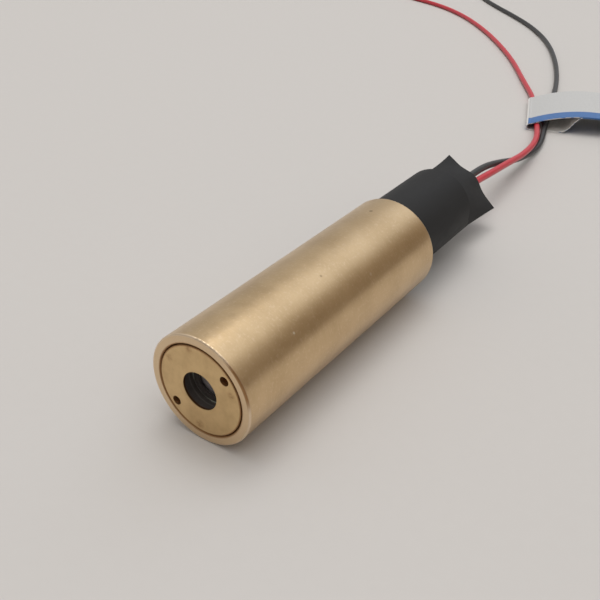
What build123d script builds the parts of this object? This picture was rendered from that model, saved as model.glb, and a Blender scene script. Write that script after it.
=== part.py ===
from build123d import *
import os
from math import cos, radians, sin, sqrt, tan

# Laser diode module: a brass barrel with a screwed-in lens cell at the front, a laser diode in its
# holder, and a driver board in a black shrink sleeve whose end is pinched flat round two leads.
# Millimetres. The optical axis is the Y axis, the front face lies at y = 0 and the beam leaves
# towards -Y. The module lies on its side, so the surface under it is at z = -barrel_dia / 2.

# Barrel
barrel_dia = 12.0
barrel_length = 35.0
barrel_edge_round = 0.18
front_wall = 1.0
rear_wall = 0.6
front_bore_chamfer = 0.1
rear_bore_chamfer = 0.2
land_height = 1.0
land_length = 1.5

# Lens cell, screwed into the front bore
cell_thread_gap = 0.1
cell_length = 6.0
cell_wall = 1.695
cell_edge_chamfer = 0.06
aperture_lip = 0.25
aperture_lip_width = 1.155
spanner_hole_count = 2
spanner_hole_dia = 1.0
spanner_hole_depth = 0.7
spanner_hole_angle = 39.4

# Lens, with the black stop in front of it and the ring that holds it behind
lens_pocket_gap = 0.04
lens_edge = 1.3
lens_front_rim = 0.815
lens_front_radius = 9.0
lens_rear_rim = 0.565
lens_rear_radius = 5.5
lens_rim_gap = 0.05
stop_length = 2.1
stop_lip_height = 0.6
stop_lip_thickness = 0.25
stop_lip_gap = 0.1
lens_ring_length = 1.2

# Spring that takes up the play of the cell's thread
spring_space = 4.0
spring_wire_dia = 0.5
spring_bore_gap = 0.25
spring_turns = 3

# Diode holder, pressed into the rear bore against the land
holder_gap = 0.02
flange_length = 3.5
stem_seat_depth = 1.5
cap_hole_gap = 0.3
stem_pocket_gap = 0.02

# Laser diode: stem, post, chip, cap, window and pins
stem_dia = 5.6
stem_thickness = 1.2
stem_notch = 0.4
stem_notch_count = 2
post_depth = 0.5
post_height = 1.25
post_cap_gap = 0.4
chip_width = 0.9
chip_length = 0.8
chip_thickness = 0.2
cap_dia = 3.55
cap_height = 2.3
cap_wall = 0.2
window_hole_dia = 1.7
window_gap = 0.25
window_thickness = 0.25
pin_dia = 0.45
pin_length = 6.5
pin_circle_dia = 2.0
pin_count = 3

# Driver board, turned about the optical axis and held by the diode's pins
board_turn = -38.7
board_thickness = 0.8
board_length = 29.3
board_corner_round = 0.6
board_front_gap = 0.5
board_pin_gap = 0.02
board_side_gap = 0.28

# Components on the board: width across it, length along it, height
ic_size = (3.9, 4.9, 1.5)
ic_place = 10.5
ic_leg_pitch = 1.27
ic_legs_per_side = 4
transistor_size = (2.9, 1.4, 1.0)
transistor_place = 5.4
transistor_side = -1.6
transistor_leg_pitch = 0.95
leg_thickness = 0.18
leg_width = 0.4
leg_reach = 0.9
resistor_size = (1.25, 2.0, 0.5)
capacitor_size = (1.25, 2.0, 1.2)
part_pitch = 1.75
rear_row_gap = 1.0

# Solder joints of the pins and the leads
pin_overlap = 2.7
pin_joint_setback = 0.3
pin_joint_length = 1.8
pin_joint_width = 1.3
pin_joint_cover = 0.08
lead_pad_spacing = 2.4
lead_height = 1.25
lead_joint_length = 2.0
lead_joint_width = 1.8
lead_joint_cover = 0.1
lead_joint_setback = 4.8

# Shrink sleeve: round over the board, then drawn in and pinched flat in the plane of the board, with
# flat flanks beside the swelling over the leads. The shifts lie along the board.
sleeve_wall = 0.3
sleeve_bore_gap = 0.015
sleeve_shift = -0.48
sleeve_front_gap = 0.3
sleeve_spigot_gap = 0.11
sleeve_overhang = 0.7
neck_length = 2.7
neck_shift = -0.125
neck_width = 9.15
neck_thickness = 4.0
neck_crease = 0.5
pinch_length = 3.8
pinch_shift = 0.03
pinch_width = 9.4
pinch_thickness = 2.8
pinch_crease = 0.78
tail_length = 10.3
tail_shift = 0.06
tail_width = 9.98
flank_thickness = 0.7
flank_spacing = 4.2
lead_slot_shift = -0.185
lead_slot_width = 4.1
lead_slot_gap = 0.17

# Leads, with tinned bare ends
lead_dia = 1.0
core_dia = 0.5
tip_length = 5.0

# Paper tag folded round both leads and glued to itself as a bowed flag
tag_corner = (-7.1, 98.3)
tag_turn = 20.5
tag_width = 15.5
tag_reach = 23.8
tag_paper = 0.14
tag_crest = 11.2
tag_crest_height = 3.35
tag_bow_radius = 28.0
tag_glue_start = 9.5
tag_glue_slope = 0.5
tag_floor_length = 5.7
tag_fold_round = 0.75

# Routes of the leads, from their joints on the board through the sleeve's end and the tag
red_route = [
    (1.72, 42.5, 0.23), (1.72, 46.8, 0.23), (0.8, 54.0, -0.2), (0.27, 58.3, -0.22),
    (0.3, 65.0, -0.95), (0.0, 72.0, -1.9), (-0.4, 80.0, -3.2), (-1.8, 89.5, -4.2),
    (-5.35, 99.4, -5.25), (-9.0, 107.2, -5.3), (-12.4, 115.2, -5.35), (-18.8, 125.5, -5.45),
    (-26.3, 138.0, -5.45), (-35.0, 150.0, -5.45), (-44.2, 161.2, -5.45), (-54.2, 171.3, -5.45),
    (-64.5, 178.8, -5.45), (-75.5, 183.6, -5.45), (-83.0, 185.5, -5.45),
]
black_route = [
    (-0.16, 42.5, 1.73), (-0.16, 46.8, 1.73), (-0.48, 54.0, 0.84), (-0.56, 58.3, 0.45),
    (-0.95, 65.0, -0.25), (-1.2, 72.0, -2.05), (-1.3, 80.0, -4.4), (-1.1, 89.5, -5.4),
    (-4.1, 99.9, -5.25), (-6.5, 108.0, -5.3), (-8.8, 116.6, -5.35), (-12.5, 129.2, -5.45),
    (-18.3, 144.0, -5.45), (-25.9, 158.9, -5.45), (-34.8, 171.0, -5.45), (-44.2, 180.6, -5.45),
    (-53.6, 189.2, -5.45), (-61.5, 197.6, -5.45), (-65.5, 203.0, -5.45),
]
arc_share = 0.45

# Bores, and what fits in them
floor_z = -barrel_dia / 2
front_bore_dia = barrel_dia - 2 * front_wall
rear_bore_dia = barrel_dia - 2 * rear_wall
land_bore_dia = front_bore_dia - 2 * land_height
cell_dia = front_bore_dia - 2 * cell_thread_gap
pocket_dia = cell_dia - 2 * cell_wall
aperture_dia = pocket_dia - 2 * aperture_lip_width
lens_dia = pocket_dia - 2 * lens_pocket_gap
lens_front_dia = lens_dia - 2 * lens_front_rim
lens_rear_dia = lens_dia - 2 * lens_rear_rim
spanner_hole_spacing = (cell_dia + pocket_dia) / 2
front_sag = lens_front_radius - sqrt(lens_front_radius**2 - (lens_front_dia / 2) ** 2)
rear_sag = lens_rear_radius - sqrt(lens_rear_radius**2 - (lens_rear_dia / 2) ** 2)
stop_bore_dia = lens_front_dia + 2 * lens_rim_gap
stop_lip_dia = stop_bore_dia - 2 * stop_lip_height
lens_ring_bore_dia = lens_rear_dia + 2 * lens_rim_gap
sleeve_dia = rear_bore_dia - 2 * (abs(sleeve_shift) + sleeve_bore_gap)
sleeve_bore_dia = sleeve_dia - 2 * sleeve_wall
spigot_dia = sleeve_bore_dia - 2 * (abs(sleeve_shift) + sleeve_spigot_gap)
lead_slot_thickness = lead_dia + 2 * lead_slot_gap
tail_thickness = lead_slot_thickness + 2 * sleeve_wall

# Stations along the axis, each worked out from the piece in front of it
lens_front = aperture_lip + stop_length
lens_back = lens_front + lens_edge
stop_lip_rear = lens_front - front_sag - stop_lip_gap
stop_lip_front = stop_lip_rear - stop_lip_thickness
land_front = cell_length + spring_space
land_rear = land_front + land_length
flange_rear = land_rear + flange_length
stem_front = land_rear + stem_seat_depth
stem_rear = stem_front + stem_thickness
cap_front = stem_front - cap_height
board_front = stem_rear + pin_length - pin_overlap
board_rear = board_front + board_length
holder_rear = board_front - board_front_gap
sleeve_front = flange_rear + sleeve_front_gap
neck_front = board_rear + sleeve_overhang
tail_end = neck_front + tail_length

# Heights on the board, which lies just above the two lower pins, and its width inside the sleeve
lower_pins = -pin_circle_dia / 2 * cos(radians(180 / pin_count))
board_bottom = lower_pins + pin_dia / 2 + board_pin_gap
board_top = board_bottom + board_thickness
board_room = sleeve_bore_dia / 2 - board_side_gap
board_width = 2 * (sqrt(board_room**2 - board_top**2) - abs(sleeve_shift))

# Directions of the board: across it, and up from its component side
across = Vector(cos(radians(board_turn)), 0, sin(radians(board_turn)))
upward = Vector(-sin(radians(board_turn)), 0, cos(radians(board_turn)))
board_plane = Plane(origin=(0, board_front, 0), x_dir=across, z_dir=upward)
component_plane = board_plane.offset(board_top)

os.makedirs("parts", exist_ok=True)


def axis_plane(y, shift=0.0):
    """Plane square to the optical axis at y, its x across the board and its y down from it."""
    centre = across * shift
    return Plane(origin=(centre.X, y, centre.Z), x_dir=across, z_dir=(0, 1, 0))


# Barrel: half-section turned about the axis, radius across and distance from the front face up
with BuildPart() as barrel:
    with BuildSketch():
        with BuildLine():
            Polyline(
                (front_bore_dia / 2, 0),
                (barrel_dia / 2, 0),
                (barrel_dia / 2, barrel_length),
                (rear_bore_dia / 2, barrel_length),
                (rear_bore_dia / 2, land_rear),
                (land_bore_dia / 2, land_rear),
                (land_bore_dia / 2, land_front),
                (front_bore_dia / 2, land_front),
                close=True,
            )
        make_face()
    revolve(axis=Axis.Y)
    outer_rims = barrel.edges().filter_by(GeomType.CIRCLE).group_by(SortBy.RADIUS)[-1]
    fillet(outer_rims, barrel_edge_round)
    rear_rims = barrel.faces().sort_by(Axis.Y)[-1].edges().sort_by(SortBy.RADIUS)
    chamfer(rear_rims[0], rear_bore_chamfer)
    front_rims = barrel.faces().sort_by(Axis.Y)[0].edges().sort_by(SortBy.RADIUS)
    chamfer(front_rims[0], front_bore_chamfer)
barrel.part.label = "barrel"
export_step(barrel.part, "parts/barrel.step")

# Lens cell: a cup with the aperture in its floor, the lens pocket behind and two spanner holes
with BuildPart() as lens_cell:
    with BuildSketch():
        with BuildLine():
            Polyline(
                (aperture_dia / 2, 0),
                (cell_dia / 2, 0),
                (cell_dia / 2, cell_length),
                (pocket_dia / 2, cell_length),
                (pocket_dia / 2, aperture_lip),
                (aperture_dia / 2, aperture_lip),
                close=True,
            )
        make_face()
    revolve(axis=Axis.Y)
    front_rims = lens_cell.faces().sort_by(Axis.Y)[0].edges().sort_by(SortBy.RADIUS)
    chamfer(front_rims[-1], cell_edge_chamfer)
    with BuildSketch(Plane.XZ):
        with PolarLocations(
            spanner_hole_spacing / 2, spanner_hole_count, start_angle=spanner_hole_angle
        ):
            Circle(spanner_hole_dia / 2)
    extrude(amount=-spanner_hole_depth, mode=Mode.SUBTRACT)
lens_cell.part.label = "lens_cell"
export_step(lens_cell.part, "parts/lens_cell.step")

# Lens stop: a black ring between the cell's lip and the lens, with a narrower lip just in front of
# the lens
with BuildPart() as lens_stop:
    with BuildSketch():
        with BuildLine():
            Polyline(
                (stop_bore_dia / 2, aperture_lip),
                (lens_dia / 2, aperture_lip),
                (lens_dia / 2, lens_front),
                (stop_bore_dia / 2, lens_front),
                (stop_bore_dia / 2, stop_lip_rear),
                (stop_lip_dia / 2, stop_lip_rear),
                (stop_lip_dia / 2, stop_lip_front),
                (stop_bore_dia / 2, stop_lip_front),
                close=True,
            )
        make_face()
    revolve(axis=Axis.Y)
lens_stop.part.label = "lens_stop"
export_step(lens_stop.part, "parts/lens_stop.step")

# Lens: two domes on a flat rim
front_apex = (0, lens_front - front_sag)
rear_apex = (0, lens_back + rear_sag)
with BuildPart() as lens:
    with BuildSketch():
        with BuildLine():
            RadiusArc(front_apex, (lens_front_dia / 2, lens_front), -lens_front_radius)
            Polyline(
                (lens_front_dia / 2, lens_front),
                (lens_dia / 2, lens_front),
                (lens_dia / 2, lens_back),
                (lens_rear_dia / 2, lens_back),
            )
            RadiusArc((lens_rear_dia / 2, lens_back), rear_apex, -lens_rear_radius)
            Line(rear_apex, front_apex)
        make_face()
    revolve(axis=Axis.Y)
lens.part.label = "lens"
export_step(lens.part, "parts/lens.step")

# Lens ring: holds the lens against the stop
with BuildPart() as lens_ring:
    with BuildSketch(Plane.XZ.offset(-lens_back)):
        Circle(lens_dia / 2)
        Circle(lens_ring_bore_dia / 2, mode=Mode.SUBTRACT)
    extrude(amount=-lens_ring_length)
lens_ring.part.label = "lens_ring"
export_step(lens_ring.part, "parts/lens_ring.step")

# Spring: between the cell's rear face and the land
spring_height = spring_space - spring_wire_dia
with BuildPart() as spring:
    with BuildLine() as coil:
        Helix(
            pitch=spring_height / spring_turns,
            height=spring_height,
            radius=front_bore_dia / 2 - spring_bore_gap - spring_wire_dia / 2,
            center=(0, cell_length + spring_wire_dia / 2, 0),
            direction=(0, 1, 0),
        )
    with BuildSketch(Plane(origin=coil.line @ 0, z_dir=coil.line % 0)):
        Circle(spring_wire_dia / 2)
    sweep(path=coil.line, is_frenet=True)
spring.part.label = "spring"
export_step(spring.part, "parts/spring.step")

# Diode holder: flange in the bore, spigot for the sleeve, stem pocket open to the rear
cap_hole_dia = cap_dia + 2 * cap_hole_gap
stem_pocket_dia = stem_dia + 2 * stem_pocket_gap
flange_dia = rear_bore_dia - 2 * holder_gap
with BuildPart() as diode_holder:
    with BuildSketch():
        with BuildLine():
            Polyline(
                (cap_hole_dia / 2, land_rear),
                (flange_dia / 2, land_rear),
                (flange_dia / 2, flange_rear),
                (spigot_dia / 2, flange_rear),
                (spigot_dia / 2, holder_rear),
                (stem_pocket_dia / 2, holder_rear),
                (stem_pocket_dia / 2, stem_front),
                (cap_hole_dia / 2, stem_front),
                close=True,
            )
        make_face()
    revolve(axis=Axis.Y)
diode_holder.part.label = "diode_holder"
export_step(diode_holder.part, "parts/diode_holder.step")

# Diode stem: notched disc, with the post that carries the chip under the axis
cap_bore_dia = cap_dia - 2 * cap_wall
post_foot = chip_thickness + post_depth
post_width = 2 * sqrt((cap_bore_dia / 2 - post_cap_gap) ** 2 - post_foot**2)
with BuildPart() as diode_stem:
    with BuildSketch(axis_plane(stem_front)):
        Circle(stem_dia / 2)
        with PolarLocations(stem_dia / 2, stem_notch_count):
            Rectangle(stem_notch, stem_notch, rotation=45, mode=Mode.SUBTRACT)
    extrude(amount=stem_thickness)
    with BuildSketch(axis_plane(stem_front)):
        with Locations((0, chip_thickness + post_depth / 2)):
            Rectangle(post_width, post_depth)
    extrude(amount=-post_height)
diode_stem.part.label = "diode_stem"
export_step(diode_stem.part, "parts/diode_stem.step")

# Laser chip: lies on the post with its upper face on the optical axis
with BuildPart() as laser_chip:
    with BuildSketch(axis_plane(stem_front - post_height)):
        with Locations((0, chip_thickness / 2)):
            Rectangle(chip_width, chip_thickness)
    extrude(amount=chip_length)
laser_chip.part.label = "laser_chip"
export_step(laser_chip.part, "parts/laser_chip.step")

# Diode cap: a thin can on the stem, with a hole in its front
with BuildPart() as diode_cap:
    with BuildSketch():
        with BuildLine():
            Polyline(
                (window_hole_dia / 2, cap_front),
                (cap_dia / 2, cap_front),
                (cap_dia / 2, stem_front),
                (cap_bore_dia / 2, stem_front),
                (cap_bore_dia / 2, cap_front + cap_wall),
                (window_hole_dia / 2, cap_front + cap_wall),
                close=True,
            )
        make_face()
    revolve(axis=Axis.Y)
    cap_rims = diode_cap.faces().sort_by(Axis.Y)[0].edges().sort_by(SortBy.RADIUS)
    fillet(cap_rims[-1], cap_wall / 2)
diode_cap.part.label = "diode_cap"
export_step(diode_cap.part, "parts/diode_cap.step")

# Diode window: glass behind the cap's hole
with BuildPart() as diode_window:
    with BuildSketch(Plane.XZ.offset(-cap_front - cap_wall)):
        Circle(cap_bore_dia / 2 - window_gap)
    extrude(amount=-window_thickness)
diode_window.part.label = "diode_window"
export_step(diode_window.part, "parts/diode_window.step")

# Diode pins: one above the board, the others below it
with BuildPart() as diode_pins:
    with BuildSketch(axis_plane(stem_rear)):
        with PolarLocations(pin_circle_dia / 2, pin_count, start_angle=-90):
            Circle(pin_dia / 2)
    extrude(amount=pin_length)
diode_pins.part.label = "diode_pins"
export_step(diode_pins.part, "parts/diode_pins.step")

# Driver board
with BuildPart() as driver_board:
    with BuildSketch(board_plane.offset(board_bottom)):
        with Locations((0, board_length / 2)):
            RectangleRounded(board_width, board_length, board_corner_round)
    extrude(amount=board_thickness)
driver_board.part.label = "driver_board"
export_step(driver_board.part, "parts/driver_board.step")


def leg_section(side, place, direction, rise):
    """Section of a bent leg that leaves its package at side, place and points along direction."""
    foot = board_plane.from_local_coords(Vector(side, place, board_top))
    knee = leg_reach / 2
    with BuildSketch(Plane(origin=foot, x_dir=direction, z_dir=direction.cross(upward))) as section:
        with BuildLine():
            Polyline(
                (0, rise),
                (knee, rise),
                (knee, leg_thickness),
                (leg_reach, leg_thickness),
                (leg_reach, 0),
                (knee - leg_thickness, 0),
                (knee - leg_thickness, rise - leg_thickness),
                (0, rise - leg_thickness),
                close=True,
            )
        make_face()
    return section.sketch


# Driver chip: moulded body with four legs on each side
ic_width, ic_length, ic_height = ic_size
with BuildPart() as driver_ic:
    with BuildSketch(component_plane.offset(leg_thickness)):
        with Locations((0, ic_place)):
            Rectangle(ic_width, ic_length)
    extrude(amount=ic_height - leg_thickness)
    for leg in range(ic_legs_per_side):
        place = ic_place + (leg - (ic_legs_per_side - 1) / 2) * ic_leg_pitch
        for side in (-1, 1):
            section = leg_section(side * ic_width / 2, place, across * side, ic_height / 2)
            extrude(section, amount=leg_width / 2, both=True)
driver_ic.part.label = "driver_ic"
export_step(driver_ic.part, "parts/driver_ic.step")

# Transistor: moulded body with two legs in front and one behind
transistor_width, transistor_length, transistor_height = transistor_size
with BuildPart() as transistor:
    with BuildSketch(component_plane.offset(leg_thickness)):
        with Locations((transistor_side, transistor_place)):
            Rectangle(transistor_width, transistor_length)
    extrude(amount=transistor_height - leg_thickness)
    for step, end in ((-1, -1), (1, -1), (0, 1)):
        side = transistor_side + step * transistor_leg_pitch
        place = transistor_place + end * transistor_length / 2
        section = leg_section(side, place, Vector(0, end, 0), transistor_height / 2)
        extrude(section, amount=leg_width / 2, both=True)
transistor.part.label = "transistor"
export_step(transistor.part, "parts/transistor.step")

# Resistors and capacitors: a resistor beside the transistor, a capacitor across the board behind the
# chip, and the rest in a row before the leads
lead_joint_front = board_length - lead_joint_setback - lead_joint_length
rear_row = lead_joint_front - rear_row_gap - resistor_size[1] / 2
middle_row = (ic_place + ic_length / 2 + rear_row - resistor_size[1] / 2) / 2
front_column = transistor_side + transistor_width / 2 + part_pitch / 2
with BuildPart() as resistors:
    with BuildSketch(component_plane):
        with Locations((front_column, transistor_place), (-part_pitch, rear_row), (0, rear_row)):
            Rectangle(resistor_size[0], resistor_size[1])
    extrude(amount=resistor_size[2])
resistors.part.label = "resistors"
export_step(resistors.part, "parts/resistors.step")

with BuildPart() as capacitors:
    with BuildSketch(component_plane):
        with Locations((0, middle_row)):
            Rectangle(capacitor_size[1], capacitor_size[0])
        with Locations((part_pitch, rear_row)):
            Rectangle(capacitor_size[0], capacitor_size[1])
    extrude(amount=capacitor_size[2])
capacitors.part.label = "capacitors"
export_step(capacitors.part, "parts/capacitors.step")


def mound(y, centre, base, height, width):
    """Round-backed section of a solder joint that stands on a face of the board at y."""
    with BuildSketch(axis_plane(y)) as section:
        with BuildLine():
            left = (centre - width / 2, base)
            right = (centre + width / 2, base)
            ThreePointArc(left, (centre, base + height), right)
            Line(right, left)
        make_face()
    return section.sketch


# Solder joints: one round each pin, and one at the front end of each lead
pin_joint = board_front + pin_joint_setback
lead_joint = board_front + lead_joint_front
upper_cover = pin_circle_dia / 2 + pin_dia / 2 + pin_joint_cover - board_top
lower_cover = board_bottom - lower_pins + pin_dia / 2 + pin_joint_cover
lead_cover = lead_height + lead_dia / 2 + lead_joint_cover - board_top
lower_side = pin_circle_dia / 2 * sin(radians(180 / pin_count))
with BuildPart() as solder_joints:
    extrude(mound(pin_joint, 0, -board_top, -upper_cover, pin_joint_width), amount=pin_joint_length)
    for side in (-lower_side, lower_side):
        section = mound(pin_joint, side, -board_bottom, lower_cover, pin_joint_width)
        extrude(section, amount=pin_joint_length)
    add(diode_pins.part, mode=Mode.SUBTRACT)
    for side in (-lead_pad_spacing / 2, lead_pad_spacing / 2):
        section = mound(lead_joint, side, -board_top, -lead_cover, lead_joint_width)
        extrude(section, amount=lead_joint_length)
solder_joints.part.label = "solder_joints"
export_step(solder_joints.part, "parts/solder_joints.step")


def creased_section(y, shift, width, thickness):
    """Two arcs that meet at creased sides; equal width and thickness give a circle."""
    with BuildSketch(axis_plane(y, shift)) as section:
        with BuildLine():
            ThreePointArc((-width / 2, 0), (0, thickness / 2), (width / 2, 0))
            ThreePointArc((width / 2, 0), (0, -thickness / 2), (-width / 2, 0))
        make_face()
    return section.sketch


def flat_section(y, shift, width, thickness):
    """Outline creased at its sides, flat at its flanks and swollen over the leads."""
    middle = lead_slot_shift - shift
    with BuildSketch(axis_plane(y, shift)) as section:
        with BuildLine():
            for side in (1, -1):
                start = Vector(-side * width / 2, 0)
                first_flank = Vector(middle - side * flank_spacing / 2, side * flank_thickness / 2)
                swelling = Vector(middle, side * thickness / 2)
                last_flank = Vector(middle + side * flank_spacing / 2, side * flank_thickness / 2)
                end = Vector(side * width / 2, 0)
                Spline(
                    start, first_flank, swelling, last_flank, end,
                    tangents=(first_flank - start, end - last_flank),
                )
        make_face()
    return section.sketch


# Sections of the sleeve behind the board, from round to flat
neck_rear = neck_front + neck_length
pinch_front = tail_end - pinch_length
outside = [
    creased_section(neck_front, sleeve_shift, sleeve_dia, sleeve_dia),
    creased_section(neck_rear, neck_shift, neck_width, neck_thickness),
    creased_section(pinch_front, pinch_shift, pinch_width, pinch_thickness),
    flat_section(tail_end, tail_shift, tail_width, tail_thickness),
]
neck_inside = (neck_width - 2 * neck_crease, neck_thickness - 2 * sleeve_wall)
pinch_inside = (pinch_width - 2 * pinch_crease, pinch_thickness - 2 * sleeve_wall)
inside = [
    creased_section(neck_front, sleeve_shift, sleeve_bore_dia, sleeve_bore_dia),
    creased_section(neck_rear, neck_shift, *neck_inside),
    creased_section(pinch_front, pinch_shift, *pinch_inside),
    creased_section(tail_end, lead_slot_shift, lead_slot_width, lead_slot_thickness),
]

# Shrink sleeve: a round tube over the spigot and the board, a straight shoulder behind the board,
# and a flat creased end
with BuildPart() as shrink_sleeve:
    with BuildSketch(axis_plane(sleeve_front, sleeve_shift)):
        Circle(sleeve_dia / 2)
    extrude(amount=neck_front - sleeve_front)
    loft(outside[:2], ruled=True)
    loft(outside[1:])
    with BuildSketch(axis_plane(sleeve_front, sleeve_shift)):
        Circle(sleeve_bore_dia / 2)
    extrude(amount=neck_front - sleeve_front, mode=Mode.SUBTRACT)
    loft(inside[:2], ruled=True, mode=Mode.SUBTRACT)
    loft(inside[1:], mode=Mode.SUBTRACT)
shrink_sleeve.part.label = "shrink_sleeve"
export_step(shrink_sleeve.part, "parts/shrink_sleeve.step")


def corner_radii(route):
    """Radius of the arc at each inner point: as large as its two runs allow."""
    points = [Vector(*point) for point in route]
    radii = []
    for before, here, after in zip(points, points[1:], points[2:]):
        turn = (here - before).get_angle(after - here)
        shorter = min((here - before).length, (after - here).length)
        radii.append(arc_share * shorter / tan(radians(turn / 2)))
    return radii


# Leads: insulated wire along each route, and the tinned core bared beyond its end
for colour, route in (("red", red_route), ("black", black_route)):
    radii = corner_radii(route)
    with BuildPart() as lead:
        with BuildLine() as lead_line:
            FilletPolyline(*route, radius=radii)
        with BuildSketch(Plane(origin=lead_line.line @ 0, z_dir=lead_line.line % 0)):
            Circle(lead_dia / 2)
        sweep(path=lead_line.line)
    lead.part.label = f"{colour}_lead"
    export_step(lead.part, f"parts/{colour}_lead.step")
    with BuildPart() as lead_tip:
        with BuildSketch(Plane(origin=lead_line.line @ 1, z_dir=lead_line.line % 1)):
            Circle(core_dia / 2)
        extrude(amount=tip_length)
    lead_tip.part.label = f"{colour}_lead_tip"
    export_step(lead_tip.part, f"parts/{colour}_lead_tip.step")
    print(f"{colour} lead: length {lead_line.wire().length:.1f}, smallest radius {min(radii):.1f}")
    print("radii", [round(radius, 1) for radius in radii])

# Paper tag: the strip's section stands on the surface and is drawn out along the leads
tag_along = Vector(cos(radians(tag_turn)), sin(radians(tag_turn)), 0)
tag_normal = Vector(sin(radians(tag_turn)), -cos(radians(tag_turn)), 0)
tag_plane = Plane(origin=(*tag_corner, floor_z), x_dir=tag_along, z_dir=tag_normal)


def bow_point(reach, depth):
    """Point of the bowed flag at a distance from the fold, at a depth below its upper face."""
    radius = tag_bow_radius - depth
    rise = sqrt(radius**2 - (reach - tag_crest) ** 2) - tag_bow_radius
    return (reach, tag_crest_height + rise)


def bow_arc(start, end, depth):
    """Arc of the flag between two distances from the fold."""
    ThreePointArc(*(bow_point(reach, depth) for reach in (start, (start + end) / 2, end)))


def loop_outline(inset, glue_depth, glue_tangent):
    """Lines of the loop round the leads, from the flag's lower side to the fold's upper side."""
    fold_top = bow_point(tag_fold_round, inset)
    Spline(
        bow_point(tag_glue_start, glue_depth),
        (tag_floor_length, inset),
        tangents=((-1, -glue_tangent), (-1, 0)),
    )
    Line((tag_floor_length, inset), (tag_fold_round, inset))
    ThreePointArc((tag_fold_round, inset), (inset, (fold_top[1] + inset) / 2), fold_top)


with BuildPart() as wire_tag:
    with BuildSketch(tag_plane):
        with BuildLine():
            loop_outline(0, 2 * tag_paper, tag_glue_slope)
            bow_arc(tag_fold_round, tag_reach, 0)
            Line(bow_point(tag_reach, 0), bow_point(tag_reach, 2 * tag_paper))
            bow_arc(tag_reach, tag_glue_start, 2 * tag_paper)
        make_face()
        with BuildLine():
            loop_outline(tag_paper, tag_paper, tag_glue_slope)
            bow_arc(tag_fold_round, tag_glue_start, tag_paper)
        make_face(mode=Mode.SUBTRACT)
    extrude(amount=-tag_width)
wire_tag.part.label = "wire_tag"
export_step(wire_tag.part, "parts/wire_tag.step")
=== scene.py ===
import math

import bpy
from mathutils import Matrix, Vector


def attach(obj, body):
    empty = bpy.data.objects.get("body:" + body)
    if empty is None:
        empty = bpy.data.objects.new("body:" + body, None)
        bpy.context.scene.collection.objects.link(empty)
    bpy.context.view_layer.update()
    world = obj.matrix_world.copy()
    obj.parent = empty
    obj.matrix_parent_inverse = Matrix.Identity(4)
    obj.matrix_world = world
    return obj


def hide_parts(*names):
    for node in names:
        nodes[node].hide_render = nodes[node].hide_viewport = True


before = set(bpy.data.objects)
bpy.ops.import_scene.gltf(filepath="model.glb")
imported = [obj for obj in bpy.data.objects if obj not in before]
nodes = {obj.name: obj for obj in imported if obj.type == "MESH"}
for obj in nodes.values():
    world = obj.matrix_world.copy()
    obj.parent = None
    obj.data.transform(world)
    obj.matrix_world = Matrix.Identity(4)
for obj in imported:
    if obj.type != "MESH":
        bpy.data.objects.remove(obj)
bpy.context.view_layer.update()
scene = bpy.context.scene
scene.view_settings.view_transform = "Standard"

MM = 0.001
UP = Vector((0.0, 0.0, 1.0))


def heading(azimuth, elevation):
    """Unit vector: azimuth 0 is in front of the barrel and 90 on its right."""
    a, e = math.radians(azimuth), math.radians(elevation)
    return Vector((math.sin(a) * math.cos(e), -math.cos(a) * math.cos(e), math.sin(e)))


def add_object(name, data):
    """A new object in the scene."""
    thing = bpy.data.objects.new(name, data)
    scene.collection.objects.link(thing)
    return thing


def stand(thing, place, back):
    """Put a camera or a lamp at a place, with its back in a direction."""
    thing.location = place
    thing.rotation_mode = "QUATERNION"
    thing.rotation_quaternion = (-back).to_track_quat("-Z", "Y")


# Camera, fitted to the barrel's rims and edges in the photograph

SENSOR_WIDTH = 36.0
FOCAL_LENGTH = 47.56
CLIP_NEAR = 0.001
CLIP_FAR = 20.0
CAMERA_PLACE = Vector((40.946, -41.345, 46.674)) * MM
CAMERA_BACK = heading(35.513, 32.525)

camera_data = bpy.data.cameras.new("camera")
camera_data.sensor_width = SENSOR_WIDTH
camera_data.lens = FOCAL_LENGTH
camera_data.clip_start = CLIP_NEAR
camera_data.clip_end = CLIP_FAR
camera = add_object("camera", camera_data)
stand(camera, CAMERA_PLACE, CAMERA_BACK)
scene.camera = camera


# Leads: the routes of the CAD solids, in millimetres, as the control points of a smooth curve each

RED_ROUTE = [
    (1.72, 42.5, 0.23), (1.72, 46.8, 0.23), (0.8, 54.0, -0.2), (0.27, 58.3, -0.22),
    (0.3, 65.0, -0.95), (0.0, 72.0, -1.9), (-0.4, 80.0, -3.2), (-1.8, 89.5, -4.2),
    (-5.35, 99.4, -5.25), (-9.0, 107.2, -5.3), (-12.4, 115.2, -5.35), (-18.8, 125.5, -5.45),
    (-26.3, 138.0, -5.45), (-35.0, 150.0, -5.45), (-44.2, 161.2, -5.45), (-54.2, 171.3, -5.45),
    (-64.5, 178.8, -5.45), (-75.5, 183.6, -5.45), (-83.0, 185.5, -5.45),
]
BLACK_ROUTE = [
    (-0.16, 42.5, 1.73), (-0.16, 46.8, 1.73), (-0.48, 54.0, 0.84), (-0.56, 58.3, 0.45),
    (-0.95, 65.0, -0.25), (-1.2, 72.0, -2.05), (-1.3, 80.0, -4.4), (-1.1, 89.5, -5.4),
    (-4.1, 99.9, -5.25), (-6.5, 108.0, -5.3), (-8.8, 116.6, -5.35), (-12.5, 129.2, -5.45),
    (-18.3, 144.0, -5.45), (-25.9, 158.9, -5.45), (-34.8, 171.0, -5.45), (-44.2, 180.6, -5.45),
    (-53.6, 189.2, -5.45), (-61.5, 197.6, -5.45), (-65.5, 203.0, -5.45),
]
LEAD_DIAMETER = 1.0 * MM
# Fineness of a lead's round section and of the curve between two points of its route
SECTION_STEPS = 5
ROUTE_STEPS = 10


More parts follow.
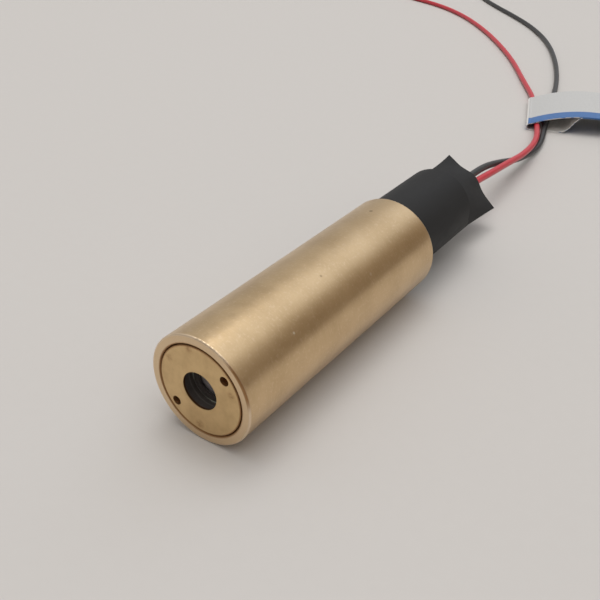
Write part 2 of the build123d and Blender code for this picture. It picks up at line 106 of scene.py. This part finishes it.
def make_lead(name, node, route):
    """A lead as a bevelled curve that replaces its CAD solid."""
    curve = bpy.data.curves.new(name, "CURVE")
    curve.dimensions = "3D"
    # The points' own radius makes the thickness
    curve.bevel_depth = 1.0
    curve.bevel_resolution = SECTION_STEPS
    curve.resolution_u = ROUTE_STEPS
    curve.use_fill_caps = True
    spline = curve.splines.new("NURBS")
    spline.points.add(len(route) - 1)
    for point, place in zip(spline.points, route):
        point.co = (*(value * MM for value in place), 1.0)
        point.radius = LEAD_DIAMETER / 2
    spline.order_u = 3
    spline.use_endpoint_u = True
    lead = add_object(name, curve)
    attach(lead, "root")
    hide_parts(node)
    return lead


red_wire = make_lead(
    "red_wire", "red_lead", RED_ROUTE
)
black_wire = make_lead(
    "black_wire", "black_lead", BLACK_ROUTE
)


# Node trees

# Vector operations whose result is a number
NUMBER_RESULTS = ("LENGTH", "DISTANCE", "DOT_PRODUCT")
# Sockets that share their names with others: a Mix node's for colours, a Map Range's for vectors
MIX_FIRST, MIX_SECOND, MIX_RESULT = 6, 7, 2
RANGE_VALUE, RANGE_FROM_MIN, RANGE_FROM_MAX, RANGE_TO_MIN, RANGE_TO_MAX = range(6, 11)


class Tree:
    """A node tree with a few short ways to add to it."""

    def __init__(self, tree):
        self.tree = tree

    def add(self, kind, **settings):
        node = self.tree.nodes.new(kind)
        for key, value in settings.items():
            setattr(node, key, value)
        return node

    def feed(self, socket, value):
        if isinstance(value, bpy.types.NodeSocket):
            self.tree.links.new(value, socket)
        else:
            socket.default_value = value

    def feed_all(self, node, values):
        for socket, value in zip(node.inputs, values):
            self.feed(socket, value)

    def math(self, operation, *values):
        node = self.add("ShaderNodeMath", operation=operation)
        self.feed_all(node, values)
        return node.outputs[0]

    def vector(self, operation, *values):
        node = self.add("ShaderNodeVectorMath", operation=operation)
        self.feed_all(node, values)
        return node.outputs["Value" if operation in NUMBER_RESULTS else "Vector"]

    def split(self, vector):
        node = self.add("ShaderNodeSeparateXYZ")
        self.feed(node.inputs[0], vector)
        return node.outputs


class Shader(Tree):
    """A material with short ways to make its textures. Lengths are in metres, except in spots."""

    def __init__(self, name):
        self.material = bpy.data.materials.new(name)
        self.material.use_nodes = True
        super().__init__(self.material.node_tree)
        self.bsdf = self.tree.nodes["Principled BSDF"]
        self.texture = self.add("ShaderNodeTexCoord")
        self.place = self.texture.outputs["Object"]

    def set(self, **values):
        for key, value in values.items():
            self.feed(self.bsdf.inputs[key.replace("_", " ")], value)

    def plus(self, first, second):
        return self.math("ADD", first, second)

    def minus(self, first, second):
        return self.math("SUBTRACT", first, second)

    def times(self, first, *others):
        for value in others:
            first = self.math("MULTIPLY", first, value)
        return first

    def largest(self, first, *others):
        for value in others:
            first = self.math("MAXIMUM", first, value)
        return first

    def axes(self):
        return self.split(self.place)

    def join(self, x, y, z):
        node = self.add("ShaderNodeCombineXYZ")
        self.feed_all(node, (x, y, z))
        return node.outputs[0]

    def radius(self):
        """Distance from the optical axis."""
        axes = self.axes()
        return self.vector("LENGTH", self.join(axes["X"], 0.0, axes["Z"]))

    def noise(self, size, detail=3.0, rough=0.6, stretch=(1, 1, 1), place=None):
        scaled = self.vector("MULTIPLY", place or self.place, [value / size for value in stretch])
        node = self.add("ShaderNodeTexNoise")
        for key, item in (
            ("Vector", scaled), ("Scale", 1.0), ("Detail", detail), ("Roughness", rough),
        ):
            self.feed(node.inputs[key], item)
        return node.outputs["Fac"]

    def ramp(self, value, low, high, at_low=0.0, at_high=1.0):
        node = self.add("ShaderNodeMapRange", interpolation_type="SMOOTHSTEP")
        for key, item in (
            ("Value", value), ("From Min", low), ("From Max", high),
            ("To Min", at_low), ("To Max", at_high),
        ):
            self.feed(node.inputs[key], item)
        return node.outputs[0]

    def fade(self, value, low, high, share=1.0):
        """A share up to the low value, none from the high one on."""
        return self.ramp(value, low, high, share, 0.0)

    def line(self, value, middle, core, edge, share=1.0):
        """A share within core of a middle value, none beyond edge."""
        off = self.math("ABSOLUTE", self.minus(value, middle))
        return self.fade(off, core, edge, share)

    def spot(self, centre, core, edge):
        """One within core of a point, none beyond edge, all in millimetres."""
        distance = self.vector("DISTANCE", self.place, Vector(centre) * MM)
        return self.fade(distance, core * MM, edge * MM)

    def spots(self, places):
        return self.largest(*(self.spot(*place) for place in places))

    def mix(self, share, first, second):
        node = self.add("ShaderNodeMix", data_type="RGBA")
        self.feed(node.inputs["Factor"], share)
        for number, colour in ((MIX_FIRST, first), (MIX_SECOND, second)):
            if not isinstance(colour, bpy.types.NodeSocket):
                colour = (*colour, 1.0)
            self.feed(node.inputs[number], colour)
        return node.outputs[MIX_RESULT]

    def bump(self, height, depth, strength=0.5):
        node = self.add("ShaderNodeBump")
        for key, item in (("Height", height), ("Distance", depth), ("Strength", strength)):
            self.feed(node.inputs[key], item)
        self.feed(self.bsdf.inputs["Normal"], node.outputs[0])


# Materials

# Parts of a noise's range, low and high, over which a look changes
EVEN = (0.3, 0.7)
CLOUDED = (0.35, 0.7)
DUSTY = (0.4, 0.75)

BRASS = (0.68, 0.495, 0.287)
BRASS_PALE = (0.78, 0.6, 0.4)
BRASS_DULL = (0.6, 0.427, 0.238)
# Paler brass for the front fillet
BRASS_FILLET_PALE = (0.84, 0.69, 0.52)
BRASS_BRIGHT = (0.95, 0.88, 0.74)
FACE_BRASS = (0.69, 0.49, 0.25)
FACE_DULL = (0.61, 0.425, 0.215)
OXIDE = (0.14, 0.07, 0.035)
# Brown of the joints and stains, also used as painted shade in the lens cell's hollows
JOINT_AND_SHADE_BROWN = (0.38, 0.21, 0.095)

# Spots: place in millimetres, radius of the core and of the faded rim, and a nick's strength
BARREL_PITS = [
    ((-0.58, 31.0, 5.97), 0.1, 0.3),
    ((2.5, 16.2, 5.45), 0.02, 0.22),
]
BARREL_NICKS = [
    ((4.72, 8.44, 3.71), 0.06, 0.2, 0.8),
    ((4.83, 22.25, 3.56), 0.08, 0.25, 0.3),
]
BROWN_SPOT = ((5.15, 0.1, 3.0), 1.3, 3.2)
CELL_STAINS = [
    ((3.85, 0.0, 1.28), 0.1, 0.55),
    ((-0.95, 0.0, 4.45), 0.1, 0.6),
    ((-0.33, 0.0, -4.16), 0.15, 0.7),
    ((-3.6, 0.0, 2.4), 0.1, 0.6),
]
# Zones, low and high: distances behind the front face and from the optical axis
FACE_BEHIND = (0.0, 0.1 * MM)
FILLET_BEHIND = (0.12 * MM, 0.22 * MM)
FILLET_RADIUS = (5.78 * MM, 5.88 * MM)
BROWN_BEHIND = (0.1 * MM, 0.24 * MM)
BROWN_RADIUS = (5.68 * MM, 5.8 * MM)
BORE_RADIUS = (5.03 * MM, 5.24 * MM)
# Depth behind the cell's front face from which its hollows are painted with shade
RECESS_SHADE_BEHIND = (0.02 * MM, 0.08 * MM)
JOINT_RADIUS = (4.7 * MM, 4.88 * MM)
APERTURE_RADIUS = (2.5 * MM, 2.6 * MM)
# Shares of a colour, and what they add to the roughness or take from the height
TURNED_SHARE = 0.12
SPECKLE_SHARE = 0.4
PIT_SHARE = 0.55
FACE_SHARE = 0.6
FILLET_SHARE = 0.7
BORE_ROUGHER = 0.35
FILLET_ROUGHER = 0.15
BROWN_ROUGHER = 0.3
TURNED_HEIGHT = 0.3
PIT_HEIGHT = 3.0


def barrel_brass():
    """Turned brass, pale on the front face and its fillet, brown by one side and in the bore."""
    shader = Shader("brass_barrel")
    behind = shader.axes()["Y"]
    radius = shader.radius()
    turned = shader.noise(0.12 * MM, 2.0, 0.5, (0.04, 1, 0.04))
    grain = shader.noise(0.5 * MM, stretch=(0.6, 1, 0.6))
    cloud = shader.noise(6.0 * MM)
    speckle = shader.noise(0.3 * MM, 2.0)
    pits = shader.spots(BARREL_PITS)
    face = shader.fade(behind, *FACE_BEHIND)
    fillet = shader.times(
        shader.fade(behind, *FILLET_BEHIND), shader.ramp(radius, *FILLET_RADIUS)
    )
    brown = shader.times(
        shader.fade(behind, *BROWN_BEHIND),
        shader.ramp(radius, *BROWN_RADIUS),
        shader.spot(*BROWN_SPOT),
    )
    bore = shader.fade(radius, *BORE_RADIUS)

    colour = shader.mix(shader.ramp(cloud, *CLOUDED), BRASS, BRASS_DULL)
    colour = shader.mix(shader.ramp(turned, 0.3, 0.8, 0.0, TURNED_SHARE), colour, BRASS_PALE)
    colour = shader.mix(shader.ramp(speckle, 0.5, 0.75, 0.0, SPECKLE_SHARE), colour, BRASS_PALE)
    for *nick, strength in BARREL_NICKS:
        colour = shader.mix(shader.times(shader.spot(*nick), strength), colour, BRASS_BRIGHT)
    colour = shader.mix(shader.times(pits, PIT_SHARE), colour, OXIDE)
    colour = shader.mix(shader.times(face, FACE_SHARE), colour, BRASS_PALE)
    # A paler colour all round the fillet, which makes its highlight whiter
    colour = shader.mix(shader.times(fillet, FILLET_SHARE), colour, BRASS_FILLET_PALE)
    colour = shader.mix(brown, colour, JOINT_AND_SHADE_BROWN)
    colour = shader.mix(bore, colour, JOINT_AND_SHADE_BROWN)

    rough = shader.ramp(grain, 0.25, 0.75, 0.275, 0.335)
    rough = shader.plus(rough, shader.times(bore, BORE_ROUGHER))
    rough = shader.plus(rough, shader.times(fillet, FILLET_ROUGHER))
    shader.set(Base_Color=colour, Metallic=1.0, Roughness=rough)
    height = shader.plus(shader.times(turned, TURNED_HEIGHT), grain)
    height = shader.minus(height, shader.times(pits, PIT_HEIGHT))
    shader.bump(height, 0.002 * MM, 0.3)
    return shader.material


def cell_brass():
    """Stained brass, brown along the joint, brown as painted shade in its hollows behind the face
    (spanner holes, aperture), and dark on the aperture's wall.
    """
    shader = Shader("brass_cell")
    behind = shader.axes()["Y"]
    radius = shader.radius()
    turned = shader.noise(0.05 * MM, place=shader.join(radius, 0.0, 0.0))
    cloud = shader.noise(1.8 * MM)
    blot = shader.noise(0.3 * MM)
    stains = shader.times(shader.spots(CELL_STAINS), shader.ramp(blot, 0.3, 0.65, 0.15, 0.75))
    # Painted shade: brown over all of the cell that lies behind its front face, so in the spanner
    # holes and the aperture
    recess_shade = shader.ramp(behind, *RECESS_SHADE_BEHIND)
    # The joint's brown, joined with the painted shade of the hollows
    brown = shader.largest(shader.ramp(radius, *JOINT_RADIUS), recess_shade)
    wall = shader.times(recess_shade, shader.fade(radius, *APERTURE_RADIUS))

    colour = shader.mix(shader.ramp(cloud, *CLOUDED), FACE_BRASS, FACE_DULL)
    colour = shader.mix(stains, colour, JOINT_AND_SHADE_BROWN)
    colour = shader.mix(brown, colour, JOINT_AND_SHADE_BROWN)
    colour = shader.mix(wall, colour, OXIDE)

    rough = shader.ramp(cloud, 0.3, 0.75, 0.3, 0.4)
    rough = shader.plus(rough, shader.times(brown, BROWN_ROUGHER))
    shader.set(Base_Color=colour, Metallic=1.0, Roughness=rough)
    shader.bump(turned, 0.003 * MM, 0.4)
    return shader.material


# How far a plain material's roughness lies from its middle
ROUGHNESS_SPREAD = 0.05


def plain(name, colour, second, size, roughness, metallic=0.0, depth=0.01 * MM):
    """A plain material with a fine mottled colour and a slight grain."""
    shader = Shader(name)
    grain = shader.noise(size)
    smooth, rough = roughness - ROUGHNESS_SPREAD, roughness + ROUGHNESS_SPREAD
    shader.set(
        Base_Color=shader.mix(shader.ramp(grain, *EVEN), colour, second),
        Roughness=shader.ramp(grain, *EVEN, smooth, rough),
        Metallic=metallic,
    )
    shader.bump(grain, depth)
    return shader.material


SLEEVE_DARK = (0.0165, 0.0165, 0.0172)
SLEEVE_LIGHT = (0.0215, 0.0215, 0.0222)
SLEEVE_SHINE = 0.25
SLEEVE_FINE_HEIGHT = 0.1


def sleeve_rubber():
    """Dull black shrink tube, a little uneven along its length."""
    shader = Shader("sleeve_black")
    fine = shader.noise(0.12 * MM)
    cloud = shader.noise(2.5 * MM, stretch=(1, 0.4, 1))
    shader.set(
        Base_Color=shader.mix(shader.ramp(cloud, *EVEN), SLEEVE_DARK, SLEEVE_LIGHT),
        Roughness=shader.ramp(cloud, *EVEN, 0.58, 0.7),
        Specular_IOR_Level=SLEEVE_SHINE,
    )
    shader.bump(shader.plus(cloud, shader.times(fine, SLEEVE_FINE_HEIGHT)), 0.06 * MM, 0.4)
    return shader.material


GLASS_IOR = 1.7
DUST_SHADE = 0.9


def glass(name, tint, clearness):
    """Glass with an uneven film of dust. Its clearness is the share of light that goes through."""
    shader = Shader(name)
    dust = shader.noise(0.5 * MM, 4.0)
    dusty = [value * DUST_SHADE for value in tint]
    shader.set(
        Base_Color=shader.mix(shader.ramp(dust, *DUSTY), tint, dusty),
        Roughness=shader.ramp(dust, *DUSTY, 0.03, 0.08),
        IOR=GLASS_IOR,
        Transmission_Weight=clearness,
    )
    return shader.material


STOP_DARK = (0.085, 0.072, 0.068)
STOP_LIGHT = (0.115, 0.097, 0.09)
# Pale colour of the lines on the stop, as wear and a painted edge highlight
STOP_WEAR_AND_HIGHLIGHT = (0.6, 0.66, 0.56)
# The pale lines, wear and a painted edge highlight: middle, core and edge, and the share of the
# one in the bore
LIP_LINE = (2.33 * MM, 0.04 * MM, 0.08 * MM)
BORE_LINE = (1.2 * MM, 0.03 * MM, 0.12 * MM, 0.12)
LIP_BEHIND = 1.6 * MM
# Where the lip's line gets weaker, by the sum of x and z, and how weak and strong it is
LIP_WEAKER = (-3.2 * MM, -2.2 * MM, 0.15, 0.9)


def stop_black():
    """Black plastic, paler round the lip's front edge and along a line in the bore: wear and a
    painted edge highlight.
    """
    shader = Shader("stop_black")
    x, behind, z = shader.axes()
    grain = shader.noise(0.2 * MM)
    lip = shader.times(
        shader.line(shader.radius(), *LIP_LINE),
        shader.math("GREATER_THAN", behind, LIP_BEHIND),
        shader.ramp(shader.plus(x, z), *LIP_WEAKER),
    )
    # Pale lines of wear and painted edge highlight, weaker on one side of the lip
    wear_and_highlight = shader.largest(lip, shader.line(behind, *BORE_LINE))
    colour = shader.mix(shader.ramp(grain, *EVEN), STOP_DARK, STOP_LIGHT)
    shader.set(
        Base_Color=shader.mix(wear_and_highlight, colour, STOP_WEAR_AND_HIGHLIGHT),
        Roughness=shader.ramp(grain, *EVEN, 0.4, 0.5),
    )
    shader.bump(grain, 0.005 * MM)
    return shader.material


TAG_TURN = math.radians(20.5)
TAG_CORNER = Vector((-7.1, 98.3, -6.0)) * MM
TAG_REACH = Vector((math.cos(TAG_TURN), math.sin(TAG_TURN), 0.0))
TAG_ALONG = Vector((-math.sin(TAG_TURN), math.cos(TAG_TURN), 0.0))
STRIPE_EDGE = (3.0 * MM, 3.0 * MM + 0.12 * MM)
STRIPE_WOBBLE = 0.06 * MM
GLUED_FROM = 9.6 * MM
# A height between the strip's two layers: its slope over the reach, its start and its least value
BETWEEN_SLOPE = 0.42
BETWEEN_START = -0.9 * MM
BETWEEN_LEAST = 1.2 * MM
PAPER_LIGHT = (0.55, 0.55, 0.545)
PAPER_DARK = (0.51, 0.51, 0.505)
# Painted light: a lighter paper for the strip's inner sides, in the shade under the flag
PAPER_INSIDE_PAINTED_LIGHT = (0.8, 0.79, 0.77)
INK_DARK = (0.05, 0.14, 0.36)
INK_LIGHT = (0.07, 0.18, 0.42)


def tag_paper():
    """White paper with a plain stripe along one edge, printed on the strip's outer side only; its
    inner sides are painted lighter, as painted light in the shade under the flag.
    """
    shader = Shader("paper_tag")
    offset = shader.vector("SUBTRACT", shader.place, TAG_CORNER)
    out = shader.vector("DOT_PRODUCT", offset, TAG_REACH)
    across = shader.vector("DOT_PRODUCT", offset, TAG_ALONG)
    height = shader.vector("DOT_PRODUCT", offset, UP)
    fibre = shader.noise(0.25 * MM, 4.0, 0.65)
    wobble = shader.times(shader.minus(fibre, 0.5), STRIPE_WOBBLE)
    stripe = shader.fade(shader.plus(across, wobble), *STRIPE_EDGE)

    # The upper layer's outer side faces up and the lower layer's faces down
    between = shader.math("MULTIPLY_ADD", out, BETWEEN_SLOPE, BETWEEN_START)
    above = shader.minus(height, shader.largest(between, BETWEEN_LEAST))
    facing_up = shader.vector("DOT_PRODUCT", shader.texture.outputs["Normal"], UP)
    outer = shader.math("GREATER_THAN", shader.times(above, facing_up), 0.0)
    outer = shader.largest(outer, shader.math("GREATER_THAN", out, GLUED_FROM))

    paper = shader.mix(shader.ramp(fibre, *EVEN), PAPER_LIGHT, PAPER_DARK)
    # The inner sides get the lighter paper, painted light in the shade under the flag
    paper = shader.mix(outer, PAPER_INSIDE_PAINTED_LIGHT, paper)
    ink = shader.mix(shader.ramp(fibre, *CLOUDED), INK_DARK, INK_LIGHT)
    shader.set(
        Base_Color=shader.mix(shader.times(stripe, outer), paper, ink),
        Roughness=shader.ramp(fibre, *EVEN, 0.5, 0.6),
    )
    shader.bump(fibre, 0.01 * MM, 0.4)
    return shader.material


BLACK_PLASTIC = plain("black_plastic", (0.012, 0.012, 0.013), (0.02, 0.02, 0.021), 0.3 * MM, 0.38)
STEEL = plain("steel", (0.5, 0.5, 0.5), (0.42, 0.42, 0.43), 0.2 * MM, 0.3, 1.0)
GOLD = plain("gold_plate", (0.78, 0.6, 0.28), (0.7, 0.52, 0.22), 0.2 * MM, 0.28, 1.0)
TURNED = plain("brass_holder", BRASS, BRASS_DULL, 0.4 * MM, 0.35, 1.0)
TINNED = plain("tinned", (0.62, 0.62, 0.6), (0.5, 0.5, 0.5), 0.25 * MM, 0.32, 1.0)
PACKAGE = plain("package_black", (0.018, 0.018, 0.019), (0.03, 0.03, 0.03), 0.1 * MM, 0.5)

LOOKS = {
    "barrel": barrel_brass(),
    "lens_cell": cell_brass(),
    "lens_stop": stop_black(),
    "lens_ring": BLACK_PLASTIC,
    "lens": glass("lens_glass", (0.72, 0.67, 0.7), 0.35),
    "diode_window": glass("window_glass", (0.95, 0.95, 0.95), 0.97),
    "spring": STEEL,
    "diode_cap": STEEL,
    "diode_holder": TURNED,
    "diode_stem": GOLD,
    "diode_pins": GOLD,
    "laser_chip": plain("chip", (0.2, 0.2, 0.22), (0.3, 0.3, 0.32), 0.1 * MM, 0.3, 0.5),
    "driver_board": plain("board_green", (0.02, 0.13, 0.05), (0.03, 0.17, 0.07), 0.8 * MM, 0.4),
    "driver_ic": PACKAGE,
    "transistor": PACKAGE,
    "resistors": plain("resistor", (0.02, 0.02, 0.025), (0.05, 0.05, 0.055), 0.3 * MM, 0.35),
    "capacitors": plain("capacitor", (0.42, 0.29, 0.17), (0.5, 0.36, 0.22), 0.3 * MM, 0.45),
    "solder_joints": TINNED,
    "red_lead_tip": TINNED,
    "black_lead_tip": TINNED,
    "shrink_sleeve": sleeve_rubber(),
    "wire_tag": tag_paper(),
}
for name, look in LOOKS.items():
    mesh = nodes[name].data
    mesh.materials.clear()
    mesh.materials.append(look)

LEAD_GRAIN = 0.5 * MM
LEAD_DEPTH = 0.02 * MM

red_wire.data.materials.append(
    plain("lead_red", (0.52, 0.02, 0.037), (0.58, 0.031, 0.05), LEAD_GRAIN, 0.36, depth=LEAD_DEPTH)
)
black_wire.data.materials.append(
    plain(
        "lead_black", (0.017, 0.017, 0.018), (0.026, 0.026, 0.027), LEAD_GRAIN, 0.4,
        depth=LEAD_DEPTH,
    )
)


# Floor

FLOOR_Z = -6.005 * MM
FLOOR_HALF = 3.0
FLOOR_DARK = (0.575, 0.552, 0.532)
FLOOR_LIGHT = (0.59, 0.567, 0.547)
FLOOR_ROUGHNESS = 0.7

floor_mesh = bpy.data.meshes.new("floor")
floor_mesh.from_pydata(
    [
        (x * FLOOR_HALF, y * FLOOR_HALF, FLOOR_Z)
        for x, y in ((-1, -1), (1, -1), (1, 1), (-1, 1))
    ],
    [],
    [(0, 1, 2, 3)],
)
floor = add_object("floor", floor_mesh)
floor_look = Shader("floor")
floor_look.set(
    Base_Color=floor_look.mix(floor_look.noise(1.5 * MM, 4.0), FLOOR_DARK, FLOOR_LIGHT),
    Roughness=FLOOR_ROUGHNESS,
)
floor_mesh.materials.append(floor_look.material)


# World: a sky that gets brighter with height, with soft lighter and darker patches

# Sine of the elevation, and how bright the sky is there
SKY_STOPS = [(0.0, 0.48), (0.3, 0.5), (0.6, 0.64), (0.8, 0.72), (0.92, 1.12), (1.0, 2.0)]
SKY_COLOUR = (1.0, 0.99, 0.975)
# Azimuth, elevation, core and edge in degrees, and what the sky's colour is multiplied by
SKY_PATCHES = [
    (178.0, 40.0, 6.0, 30.0, (1.4, 1.47, 1.6)),
    (138.0, 6.0, 12.0, 42.0, (0.46, 0.38, 0.3)),
    (85.0, 3.0, 10.0, 32.0, (0.4, 0.35, 0.3)),
    (95.0, 42.0, 10.0, 46.0, (1.7, 1.7, 1.7)),
    (40.0, 15.0, 15.0, 55.0, (0.36, 0.34, 0.32)),
    (-15.0, 20.0, 15.0, 60.0, (0.4, 0.38, 0.36)),
    (7.0, 44.0, 4.0, 20.0, (6.0, 6.0, 6.0)),
    (124.0, 33.0, 5.0, 22.0, (0.72, 0.72, 0.72)),
    (214.0, 47.0, 8.0, 26.0, (0.78, 0.78, 0.78)),
    (150.0, 17.0, 4.0, 18.0, (1.25, 1.25, 1.25)),
]
# What the camera sees beyond the floor: the colour that the far floor has
BACKDROP = (0.497, 0.474, 0.452, 1.0)

world = bpy.data.worlds.new("world")
scene.world = world
world.use_nodes = True
sky = Tree(world.node_tree)
direction = sky.add("ShaderNodeTexCoord").outputs["Generated"]
by_height = sky.add("ShaderNodeValToRGB")
sky.feed(by_height.inputs[0], sky.split(direction)["Z"])
elements = by_height.color_ramp.elements
while len(elements) < len(SKY_STOPS):
    elements.new(0.5)
for element, (place, level) in zip(elements, SKY_STOPS):
    element.position = place
    element.color = (*(level * share for share in SKY_COLOUR), 1.0)


def tint(colour, azimuth, elevation, core, edge, factor):
    """Multiply a soft round patch of the sky."""
    nearness = sky.vector("DOT_PRODUCT", direction, heading(azimuth, elevation))
    node = sky.add(
        "ShaderNodeMapRange", data_type="FLOAT_VECTOR", interpolation_type="SMOOTHSTEP"
    )
    for number, value in (
        (RANGE_VALUE, nearness),
        (RANGE_FROM_MIN, [math.cos(math.radians(edge))] * 3),
        (RANGE_FROM_MAX, [math.cos(math.radians(core))] * 3),
        (RANGE_TO_MIN, (1.0, 1.0, 1.0)),
        (RANGE_TO_MAX, factor),
    ):
        sky.feed(node.inputs[number], value)
    return sky.vector("MULTIPLY", colour, node.outputs["Vector"])


sky_colour = by_height.outputs[0]
for patch in SKY_PATCHES:
    sky_colour = tint(sky_colour, *patch)
background = sky.tree.nodes["Background"]
sky.feed(background.inputs["Color"], sky_colour)
backdrop = sky.add("ShaderNodeBackground")
sky.feed(backdrop.inputs["Color"], BACKDROP)
seen = sky.add("ShaderNodeLightPath").outputs["Is Camera Ray"]
choice = sky.add("ShaderNodeMixShader")
sky.feed_all(choice, (seen, background.outputs[0], backdrop.outputs[0]))
sky.feed(sky.tree.nodes["World Output"].inputs["Surface"], choice.outputs[0])


# Lamp: a square soft box that looks at the barrel

LAMP_BACK = heading(-138.0, 72.0)
LAMP_TARGET = Vector((0.0, 0.02, 0.0))
LAMP_DISTANCE = 0.7
LAMP_SIZE = 0.34
LAMP_RADIANCE = 2.8
LAMP_COLOUR = (1.0, 0.985, 0.96)

lamp_data = bpy.data.lights.new("overhead", "AREA")
lamp_data.shape = "SQUARE"
lamp_data.size = LAMP_SIZE
lamp_data.energy = LAMP_RADIANCE * math.pi * LAMP_SIZE * LAMP_SIZE
lamp_data.color = LAMP_COLOUR
stand(add_object("overhead", lamp_data), LAMP_TARGET + LAMP_BACK * LAMP_DISTANCE, LAMP_BACK)

bpy.context.view_layer.update()
